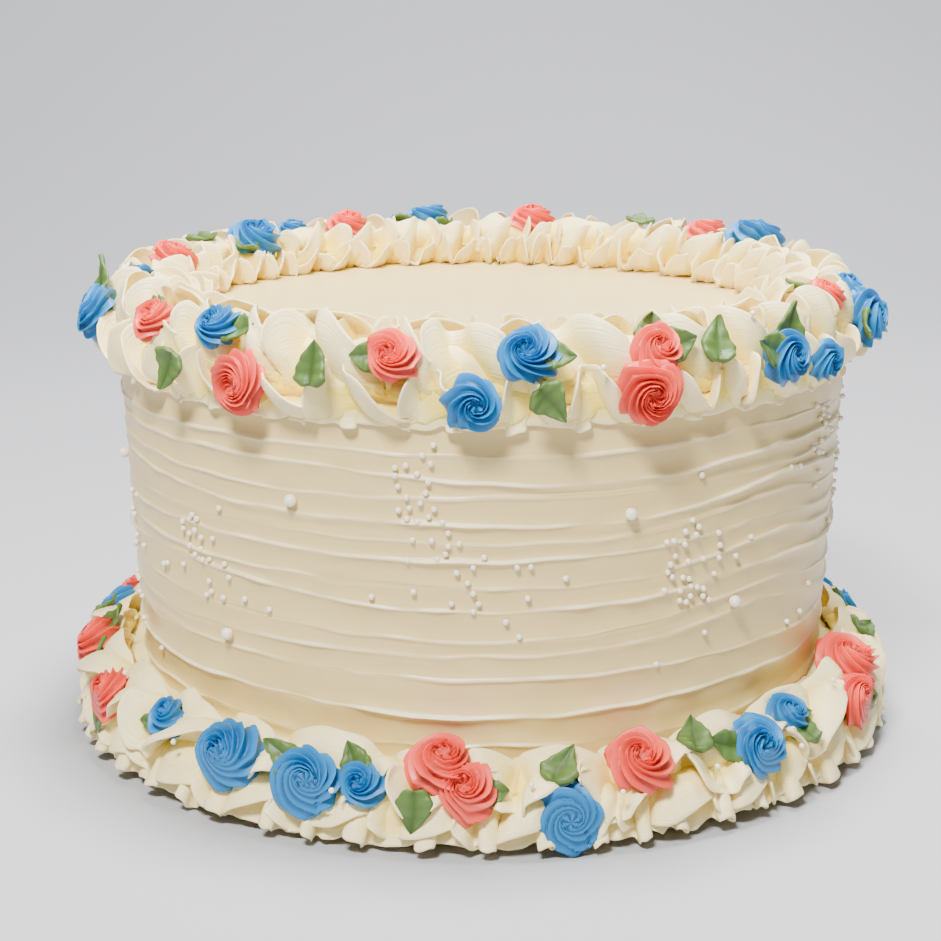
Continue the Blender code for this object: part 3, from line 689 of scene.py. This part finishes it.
def core_ring(name, section, shrink, nu=160, nv=16, floor=None):
    """The plain filling bed under the ruffles."""
    th = (np.arange(nu) * TAU / nu)[:, None]
    psi = (np.arange(nv) * TAU / nv)[None, :]
    r, z, ox, oz = section_point(section, th, psi + 0 * th, 0.0)
    d = -shrink + 0.0010 * np.sin(28 * th + 3 * np.sin(psi)) + 0.0006 * np.sin(61 * th + 2 * psi)
    r, z = r + d * ox, z + d * oz
    r = np.maximum(r, 0)
    if floor is not None:
        z = np.maximum(z, floor)
    # not held off the cake body: a hair inside it is hidden
    co = ring_point(r, z, th)
    faces = grid_faces(nu, nv, wrap_u=True, wrap_v=True)
    tri = co.reshape(-1, 3)[faces[:, [0, 1, 2]]]
    vol = np.einsum("ij,ij->i", tri[:, 0], np.cross(tri[:, 1], tri[:, 2])).sum()
    if vol < 0:
        faces = faces[:, ::-1]
    # painted shade: the bed under the ruffles is mixed a fixed share towards the shade colour
    painted_shade_and_glow = np.full(nu * nv, 0.35)
    return make_mesh(name, co.reshape(-1, 3), faces, mat_piped, attrs={"painted_shade_and_glow": painted_shade_and_glow})


# A fold of the small pleated hem below a ruffle: it doubles back on itself.
HEM = [(0.0, -1.0, 0.2), (5.0, -1.6, 0.1), (8.0, 0.3, 0.0), (6.4, 2.6, -0.2), (10.5, 4.4, -0.4),
       (14.6, 2.6, -0.2), (13.0, 0.3, 0.0), (16.2, -1.7, 0.2), (23.0, -0.6, 0.3)]
HEM_SWELL = (0.6, -0.4, -0.6, 0.5, 1.0, 0.5, -0.6, -0.4, 0.6)

# A shell that stands up round the foot: the edge goes over in an arch and sweeps out under the next.
ARCH = [(0.0, -3.0, 3.0), (0.6, 0.5, 1.6), (3.6, 4.2, 0.5), (9.0, 6.8, 0.0), (15.0, 7.4, -0.4),
        (21.0, 6.2, -1.2), (26.0, 3.2, -2.6), (30.0, -0.6, -4.4), (31.8, -3.4, -4.0), (30.6, -3.8, 0.5)]
ARCH_SWELL = (-0.6, -0.2, 0.5, 0.9, 1.0, 0.9, 0.6, 0.2, -0.4, -0.7)


def borders():
    top, foot = TOP_SKIN, FOOT_SKIN
    hem = dict(side=-1, nv=10, belly=0.0008, lean=0.0, fold=HEM, swell=HEM_SWELL, thick=(0.0024, 0.0010),
               mix=0.12)
    parts = [
        (core_ring("top_border_bed", top, 0.0044), "top_border"),
        (ruffle("top_outer_ruffle", top, -52, -4, 37, 5, root_in=0.0045, depth=1.1, height=0.95, out=-0.0022,
                flare=0.0050, limit=0.1625), "top_border"),
        (ruffle("top_middle_ruffle", top, -14, 62, 30, 7, root_in=0.0050, height=1.05, depth=0.85, out=-0.0020,
                flare=0.0050, limit=0.1620), "top_border"),
        (ruffle("top_hem", top, -22, -42, 46, 6, root_in=0.004, out=0.0006, depth=0.42, height=0.4,
                limit=0.1590, **hem), "top_border"),
        (ruffle("top_inner_ruffle", top, 146, 94, 26, 9, side=-1, root_in=0.005, depth=0.86,
                height=0.9, out=-0.0052, glow=1.2, mix=0.26, lean=4.0, fold=ARCH, swell=ARCH_SWELL),
         "top_border"),
        (ruffle("top_inner_curls", top, 176, 126, 33, 23, side=-1, root_in=0.005, depth=0.80, nv=12,
                height=0.85, out=-0.0012, glow=2.2, mix=0.36, lean=6.0), "top_border"),
        (ruffle("top_inner_frill", top, 196, 160, 42, 31, side=-1, root_in=0.002, depth=0.80, sub=2,
                height=0.66, out=0.0006, glow=2.8, belly=0.0018, lean=5.0, nv=12,
                thick=(0.0026, 0.0010), mix=0.34), "top_border"),
        (core_ring("foot_border_bed", foot, 0.0085, floor=0.0006), "foot_border"),
        (ruffle("foot_lower_ruffle", foot, 40, 12, 34, 15, side=-1, root_in=0.005, depth=0.75, height=0.55,
                out=-0.0030, floor=0.0008, limit=0.1750, lean=4.0), "foot_border"),
        (ruffle("foot_skirt", foot, 70, 36, 24, 17, side=-1, root_in=0.0065, depth=0.85, height=1.15,
                out=0.0010, belly=0.0040, floor=0.0008, limit=0.1748, lean=6.0, glow=1.1), "foot_border"),
        (ruffle("foot_hem", foot, 32, 4, 52, 16, root_in=0.004, floor=0.0008, limit=0.1756, out=-0.0014,
                depth=1.30, **hem), "foot_border"),
        (ruffle("foot_inner_ruffle", foot, 36, 74, 28, 19, root_in=0.0050, depth=0.85, height=0.80,
                out=-0.0034, belly=0.0030, flare=0.0020, lean=2.0, fold=ARCH, swell=ARCH_SWELL, glow=0.8,
                floor=0.0008), "foot_border"),
    ]
    for obj, node in parts:
        finish_piece(obj, "piped_icing", node)


# ------------------------------------------------------------------ roses, leaves and pearls: meshes


def as_array(m):
    return np.array(m)


def rose_shape(d, seed):
    """A swirl from a star nozzle: crests that spiral in from a ragged rim to the heart, with the last
    pull of the nozzle laid over one side."""
    rng = np.random.default_rng(900 + seed)
    R, H = d / 2 * 0.99, 0.45 * d
    count = int(rng.integers(6, 8)) if d > 0.019 else int(rng.integers(5, 7))
    per, rows = 11, 33
    nu = count * per
    x = (np.arange(nu) % per) / per
    x = x - 0.10 * np.sin(TAU * x)                              # closer together at the crests
    u = (np.arange(nu) // per + x) * TAU / count
    prof = np.array([(0.62, 0.00), (0.88, 0.01), (0.98, 0.12), (1.00, 0.30), (0.97, 0.48), (0.90, 0.66),
                     (0.79, 0.81), (0.66, 0.92), (0.52, 0.98), (0.39, 1.0), (0.27, 0.97), (0.17, 0.91),
                     (0.09, 0.85), (0.03, 0.82), (0.0, 0.82)])
    s = np.linspace(0, len(prof) - 1, rows)
    rho = np.interp(s, np.arange(len(prof)), prof[:, 0])
    zz = np.interp(s, np.arange(len(prof)), prof[:, 1])
    k = np.array([0.25, 0.5, 0.25])
    rho[1:-1], zz[1:-1] = np.convolve(rho, k, "valid"), np.convolve(zz, k, "valid")
    drho, dz = np.gradient(rho * R), np.gradient(zz * H)
    ln = np.hypot(drho, dz)
    nr, nz = dz / ln, -drho / ln
    # how far the crests have turned, by the way travelled over the dome
    way = np.concatenate([[0], np.cumsum(ln[1:])]) / R
    kappa = rng.uniform(2.2, 2.9)
    twist = -kappa * np.log((1.62 - np.minimum(way, 1.56)) ** -0.8)
    twist = twist - twist[0]
    a = u[:, None] + twist[None, :]
    crest = (1 - np.abs(np.sin(math.pi * (u * count / TAU))))[:, None]
    each = rng.uniform(0.70, 1.25, count)[(np.arange(nu) // per)][:, None]
    amp = R * np.interp(rho, [0, 0.12, 0.3, 0.7, 1.0], [0.0, 0.03, 0.18, 0.30, 0.22])[None, :]
    D = amp * each * (crest ** 1.15 - 0.32)
    # the last pull of the nozzle: a step from heart to rim
    cut = rng.uniform(0, TAU)
    turn = np.mod(a - cut + 1.1 * rho[None, :], TAU) / TAU
    D = D + R * 0.20 * (turn ** 2.0 - 0.25) * np.interp(rho, [0, 0.25, 0.8, 1.0], [0.1, 0.7, 1.0, 0.8])[None, :]
    edge = np.interp(s, [0, 2, 4, 8], [0.3, 1.0, 1.0, 0.0])[None, :]
    out = 1 + edge * (0.05 * np.cos(2 * a + rng.uniform(0, 6)) + 0.05 * np.cos(3 * a + rng.uniform(0, 6))
                      + 0.03 * np.cos(5 * a + rng.uniform(0, 6)))
    tail = rng.uniform(0, TAU)
    out = out + (0.20 if seed % 3 else 0.05) * edge * np.exp(-(((a - tail + math.pi) % TAU - math.pi) / 0.20) ** 2)
    rr = rho[None, :] * R * out + D * nr[None, :]
    z = zz[None, :] * H + D * nz[None, :] + 0.07 * H * np.cos(a - cut) * rho[None, :]
    off = rng.uniform(0, TAU)
    shift = 0.20 * R * (1 - rho ** 2)[None, :]
    px = rr * np.cos(a) + shift * math.cos(off)
    py = rr * np.sin(a) + shift * math.sin(off)
    z[:, -1] = z[:, -1].mean()
    px[:, -1], py[:, -1] = px[:, -1].mean(), py[:, -1].mean()
    verts = np.stack([px, py, z], -1)[:, :-1].reshape(-1, 3)
    faces = [tuple(f) for f in grid_faces(nu, rows - 1, wrap_u=True)]
    top = len(verts)
    verts = np.vstack([verts, [[px[0, -1], py[0, -1], z[0, -1]], [0, 0, 0.0002]]])
    last = rows - 2
    faces += [(i * (rows - 1) + last, ((i + 1) % nu) * (rows - 1) + last, top) for i in range(nu)]
    faces += [(((i + 1) % nu) * (rows - 1), i * (rows - 1), top + 1) for i in range(nu)]
    # painted shade in the grooves between the crests, deeper towards the heart
    deep = np.clip(0.95 - 1.6 * crest, 0, 1) * np.interp(rho, [0, 0.5, 1], [1.0, 0.85, 0.75])[None, :]
    painted_shade_and_glow = np.concatenate([deep[:, :-1].ravel(), [0.8, 0.8]])
    return verts, faces, painted_shade_and_glow


def leaf_shape(L):
    """A piped leaf: fat at the nozzle, creased down the middle, drawn out to a point."""
    rng = np.random.default_rng(300 + L["seed"])
    nu, nv = 31, 13
    span = L["end"] - L["start"]
    W = 0.0074 if span > 0.010 else 0.0062
    u = np.linspace(0, 1, nu)[:, None]
    v = np.linspace(-1, 1, nv)[None, :]
    q = np.clip((u + 0.02) / 0.40, 0, 1)
    half = W * (0.10 + 0.95 * np.sqrt(q * (2 - q))) * np.clip(1 - u ** 1.9, 0, 1) ** 0.95
    half = half * (1 + 0.07 * np.sin(9 * u + rng.uniform(0, 6)))
    beat = 8.0 * math.pi * u - 1.5 * np.abs(v) + rng.uniform(0, 6)      # the nozzle's start and stop
    half = half * (1 + 0.045 * np.sin(beat) * np.clip(1.15 - u, 0, 1))
    x = L["start"] + span * u - 0.07 * span * np.abs(v) ** 1.5 * (1 - u) + 0 * v
    bend = rng.uniform(-0.16, 0.16) * span
    y = half * v + bend * u ** 2
    side = rng.choice([-1.0, 1.0])
    curl = 0.0011 * np.sin(7 * u + 2.5 * v + rng.uniform(0, 6)) * np.abs(v)
    curl = curl + 0.00034 * np.sin(beat) * np.abs(v) ** 0.6 * np.clip(1.2 - u, 0, 1)
    curl = curl + 0.0013 * side * v * np.sin(math.pi * np.clip(1.15 * u, 0, 1))
    rib = np.abs(v) ** 0.75
    top = L["lift"] - 0.0004 + 0.0022 * (1 - 0.6 * u) * (0.15 + 1.15 * rib - 0.50 * np.abs(v) ** 5) + curl
    low = L["lift"] - 0.0020 * (1 - 0.5 * u) + 0.0010 * np.abs(v) ** 2 + 0.5 * curl
    rise = 0.20 * span * u ** 2.4 - 0.06 * span * u
    top, low = top + rise, low + rise
    mean = 0.5 * (top + low)
    pinch = np.clip((1 - np.abs(v)) / 0.12, 0, 1) ** 0.5 * np.clip((1 - u) / 0.03, 0, 1) ** 0.5
    top, low = mean + (top - mean) * pinch, mean + (low - mean) * pinch
    a = np.stack([x, y, top], -1)
    b = np.stack([x, y, low], -1)[:, 1:-1][:, ::-1]
    ring = np.concatenate([a, b], 1)
    n = ring.shape[1]
    verts = ring[:-1].reshape(-1, 3)
    faces = [tuple(f) for f in grid_faces(nu - 1, n, wrap_v=True)]
    tip = len(verts)
    verts = np.vstack([verts, [ring[-1].mean(0)], [ring[0].mean(0)]])
    faces += [((nu - 2) * n + i, tip, (nu - 2) * n + (i + 1) % n) for i in range(n)]
    faces += [(i, (i + 1) % n, tip + 1) for i in range(n)]
    c, s_ = math.cos(L["ang"]), math.sin(L["ang"])
    rot = np.array([[c, -s_, 0], [s_, c, 0], [0, 0, 1]])
    verts = verts @ rot.T
    # painted shade down the crease and in the dips of the nozzle's ripples; the underside gets half
    painted_shade_and_glow = np.clip(np.clip(1 - 1.6 * rib, 0, 1) * 0.8 - 0.22 * np.sin(beat) * rib, 0, 1)
    painted_shade_and_glow = np.concatenate([painted_shade_and_glow, np.full((nu, nv - 2), 0.5)], 1)[:-1].ravel()
    return verts, faces, np.concatenate([painted_shade_and_glow, [0.2, 0.6]])


def turned_out(verts, faces):
    tri = np.array([f[:3] for f in faces])
    p = verts[tri] - verts.mean(0)
    if np.einsum("ij,ij->i", p[:, 0], np.cross(p[:, 1], p[:, 2])).sum() < 0:
        return [tuple(reversed([int(i) for i in f])) for f in faces]
    return faces


def hold_in(w):
    """Keeps a topping above the ground and off the cake's side."""
    w = w.copy()
    w[:, 2] = np.where(w[:, 2] < 0.0007, 0.0006, w[:, 2])
    rad = np.hypot(w[:, 0], w[:, 1])
    least = side_radius(w[:, 2]) + 0.0004
    fix = (rad < least) & (w[:, 2] < CAKE_H - 0.001) & (rad > 0.12)
    w[fix, 0] *= (least / rad)[fix]
    w[fix, 1] *= (least / rad)[fix]
    far = (rad > 0.1745) & (w[:, 2] < 0.1)
    w[far, 0] *= (0.1745 / rad)[far]
    w[far, 1] *= (0.1745 / rad)[far]
    return w


def toppings():
    for R in ROSES:
        m = as_array(R["m"])
        verts, faces, painted_shade_and_glow = rose_shape(R["d"], R["seed"])
        verts = verts @ m[:3, :3].T + m[:3, 3]
        faces = turned_out(verts, faces)
        mat = mat_blue if R["colour"] == "blue" else mat_coral
        obj = make_mesh("swirl_" + R["name"], hold_in(verts), faces, mat, attrs={"painted_shade_and_glow": painted_shade_and_glow})
        if R["leaves"]:
            mesh = obj.data
            mesh.materials.append(mat_green)
            # the leaves that touch the rose are part of the same piece
            parts = [(obj.data, None)]
            allv, allf, allw, idx = [hold_in(verts)], [tuple(int(i) for i in f) for f in faces], [painted_shade_and_glow], [0] * len(faces)
            base = len(verts)
            for k in R["leaves"]:
                lv, lf, lw = leaf_shape(LEAVES[k])
                lm = as_array(LEAVES[k]["m"])
                lv = lv @ lm[:3, :3].T + lm[:3, 3]
                lf = turned_out(lv, lf)
                allv.append(hold_in(lv))
                allf += [tuple(int(i) + base for i in f) for f in lf]
                allw.append(lw)
                idx += [1] * len(lf)
                base += len(lv)
            bpy.data.objects.remove(obj)
            bpy.data.meshes.remove(mesh)
            obj = make_mesh("swirl_" + R["name"], np.vstack(allv), allf, mat,
                            attrs={"painted_shade_and_glow": np.concatenate(allw)})
            obj.data.materials.append(mat_green)
            obj.data.polygons.foreach_set("material_index", idx)
        finish_piece(obj, f"{R['colour']}_icing", R["name"])
    for L in LEAVES:
        if "name" in L:
            lm = as_array(L["m"])
            verts, faces, painted_shade_and_glow = leaf_shape(L)
            verts = verts @ lm[:3, :3].T + lm[:3, 3]
            faces = turned_out(verts, faces)
            obj = make_mesh("blade_" + L["name"], hold_in(verts), faces, mat_green, attrs={"painted_shade_and_glow": painted_shade_and_glow})
            finish_piece(obj, "green_icing", L["name"])


# Sugar pearls on the side: millimetres round from the front, millimetres up.
PEARL_DRIFTS = [
    # left of the middle, trailing down to the right
    (-17, 150), (-21, 146), (-18, 143), (-31, 141), (-27, 142), (-31, 138), (-23, 139), (-19, 136),
    (-30, 134), (-20, 132), (-27, 130), (-22, 128), (-30, 125), (-26, 126), (-17, 126), (-19, 123),
    (-27, 122), (-23, 121), (-14, 121), (-12, 117), (-25, 114), (-18, 114), (-12, 112), (-8, 113),
    (-13, 109), (-16, 107), (-27, 106), (1, 108), (-3, 104), (-9, 102), (13, 104), (18, 104), (31, 99),
    (-5, 98), (-25, 94), (-3, 94), (-11, 90), (-1, 90), (17, 92), (-3, 87), (9, 83), (14, 77), (69, 61),
    # right of the middle, a loose ring
    (85, 133), (82, 116), (85, 113), (79, 112), (84, 110), (95, 109), (71, 109), (74, 109), (79, 107),
    (82, 109), (113, 104), (96, 104), (75, 103), (81, 100), (88, 100), (96, 99), (105, 98), (73, 100),
    (72, 97), (74, 95), (94, 93), (79, 94), (82, 93), (83, 90), (86, 89), (89, 88), (78, 89), (89, 85),
    (71, 90), (83, 86), (92, 83), (78, 85), (81, 84), (77, 83), (91, 70),
    # the right edge
    (155, 148), (162, 146), (169, 144), (163, 143), (170, 141), (160, 142), (183, 137), (166, 139),
    (170, 136), (177, 134), (164, 132), (172, 131), (155, 131), (161, 128), (166, 127), (176, 123),
    (144, 126), (137, 127), (166, 119), (161, 114), (192, 92), (163, 73), (156, 63), (144, 62),
    # the left edge
    (-193, 104), (-181, 105), (-197, 95), (-192, 94), (-189, 86), (-195, 81), (-176, 85), (-196, 65),
    (-162, 45),
    # left, a ring with a tail
    (-125, 110), (-127, 108), (-122, 109), (-132, 106), (-126, 106), (-132, 103), (-124, 104),
    (-128, 102), (-120, 102), (-113, 103), (-128, 97), (-121, 97), (-125, 94), (-120, 93), (-116, 94),
    (-107, 94), (-134, 88), (-148, 85), (-151, 84), (-105, 89), (-117, 85), (-119, 79), (-116, 81),
    (-109, 80), (-97, 82), (-85, 80), (-108, 116), (-41, 91), (-110, 66),
]
BIG_PEARLS = [(55, 122), (105, 80), (-214, 115), (-72, 125), (-107, 66)]
# On the borders: border, theta, psi, height above it in mm.
STRAY_PEARLS = [("top", -75, 20, 4), ("top", -110, 8, 4), ("top", -50, 60, 4), ("foot", -108, 30, 5),
                ("foot", -84, 40, 5), ("foot", -73, 30, 5), ("foot", -60, 35, 5), ("foot", -46, 30, 5),
                ("foot", -118, 62, 4), ("foot", -132, 35, 5), ("foot", -150, 62, 4), ("foot", -33, 60, 5)]


def ball(segments, rings):
    verts, faces = [(0, 0, 1)], []
    for i in range(1, rings):
        a = math.pi * i / rings
        verts += [(math.sin(a) * math.cos(TAU * j / segments), math.sin(a) * math.sin(TAU * j / segments),
                   math.cos(a)) for j in range(segments)]
    verts.append((0, 0, -1))
    end = len(verts) - 1
    for j in range(segments):
        k = (j + 1) % segments
        faces.append((0, 1 + j, 1 + k))
        for i in range(rings - 2):
            a = 1 + i * segments
            faces.append((a + j, a + segments + j, a + segments + k, a + k))
        a = 1 + (rings - 2) * segments
        faces.append((a + j, end, a + k))
    return np.array(verts), faces


def pearls():
    rng = np.random.default_rng(77)
    small, big = [], []
    spots = list(PEARL_DRIFTS)
    large = list(BIG_PEARLS)
    # the side that faces away carries on in the same way: rings with trailing tails
    for centre, height in ((-300, 112), (-245, 98), (228, 104), (292, 92), (355, 118), (420, 98), (-368, 96),
                           (-440, 114)):
        for i in range(26):
            a = rng.uniform(0, TAU)
            spots.append((centre + 12 * math.cos(a) + rng.normal(0, 3), height + 17 * math.sin(a) + rng.normal(0, 3)))
        for i in range(9):
            spots.append((centre + 10 + 6 * i + rng.normal(0, 3), height - 14 - 4 * i + rng.normal(0, 4)))
        large.append((centre - 22 + rng.normal(0, 5), height + 8))
    for i in range(22):
        spots.append((rng.uniform(205, 262), rng.uniform(70, 150)))
    kept = []
    for x, z in spots:
        if all(math.hypot(x - a, z - b) > 2.3 for a, b in kept) and 44 < z < 152:
            kept.append((x, z))
    for x, z in kept:
        z /= 1000
        t = -math.pi / 2 + x / 150
        rad = rng.uniform(0.00108, 0.00124)
        r = side_radius(z) - 0.0004 + rad * 0.80
        small.append((r * math.cos(t), r * math.sin(t), z, rad))
    for x, z in large:
        if 190 < x < 230:
            continue
        z /= 1000
        t = -math.pi / 2 + x / 150
        rad = 0.00235
        r = side_radius(z) - 0.0004 + rad * 0.86
        big.append((r * math.cos(t), r * math.sin(t), z, rad))
    for where, theta, psi, high in STRAY_PEARLS:
        m = seat(TOP_SECTION if where == "top" else FOOT_SECTION, theta, psi, -high / 1000)
        small.append((*m.translation, 0.0011))
    for name, spots, (a, b) in (("small_sugar_pearls", small, (10, 6)), ("large_sugar_pearls", big, (20, 12))):
        bv, bf = ball(a, b)
        verts, faces = [], []
        for x, y, z, rad in spots:
            base = len(verts) * len(bv)
            verts.append(bv * rad + np.array((x, y, z)))
            faces += [tuple(i + base for i in f) for f in bf]
        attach(make_mesh(name, np.vstack(verts), faces, mat_pearl), "root")


cake_body()
borders()
toppings()
pearls()

# ------------------------------------------------------------------ floor, light, camera


def studio():
    m = Nodes("studio_floor")
    m.bsdf.inputs["Base Color"].default_value = (0.40, 0.41, 0.44, 1)
    m.bsdf.inputs["Roughness"].default_value = 0.7
    # a floor that curves up into a back wall
    line = [(-4.0, 0.0), (0.9, 0.0)]
    line += [(0.9 + 0.9 * math.sin(math.radians(a)), 0.9 - 0.9 * math.cos(math.radians(a)))
             for a in range(10, 91, 10)] + [(1.8, 4.0)]
    verts = [(x, y, z) for y, z in line for x in (-6.0, 6.0)]
    faces = [(2 * k, 2 * k + 1, 2 * k + 3, 2 * k + 2) for k in range(len(line) - 1)]
    floor = make_mesh("studio_floor", verts, faces, m.mat)

    world = bpy.data.worlds.new("studio")
    world.use_nodes = True
    world.node_tree.nodes["Background"].inputs["Color"].default_value = (1.0, 0.99, 0.97, 1)
    world.node_tree.nodes["Background"].inputs["Strength"].default_value = 0.30
    bpy.context.scene.world = world

    def area(name, loc, target, size, power, colour=(1, 1, 1)):
        light = bpy.data.lights.new(name, "AREA")
        light.shape, light.size, light.size_y = "RECTANGLE", size[0], size[1]
        light.energy, light.color = power, colour
        obj = bpy.data.objects.new(name, light)
        bpy.context.scene.collection.objects.link(obj)
        obj.location = loc
        obj.rotation_euler = (Vector(target) - Vector(loc)).to_track_quat("-Z", "Y").to_euler()
        return obj

    area("key_softbox", (-0.35, -1.15, 1.55), (0, 0, 0.1), (0.40, 0.30), 71.0, (1.0, 0.985, 0.96))
    area("overhead_softbox", (0.10, 0.05, 1.6), (0, 0, 0.1), (0.42, 0.36), 62.0, (1.0, 0.985, 0.96))
    area("back_light", (0.4, 1.1, 1.1), (0, 0, 0.15), (0.9, 0.4), 14.0, (1.0, 0.985, 0.96))

    cam = bpy.data.cameras.new("camera")
    cam.sensor_width = 36
    cam.lens = 80.81
    cam.clip_start, cam.clip_end = 0.05, 20
    obj = bpy.data.objects.new("camera", cam)
    bpy.context.scene.collection.objects.link(obj)
    obj.location = (0, -0.87947, 0.33003)
    obj.rotation_euler = (math.radians(90 - 14.566), 0, math.radians(0.3105))
    bpy.context.scene.camera = obj


studio()
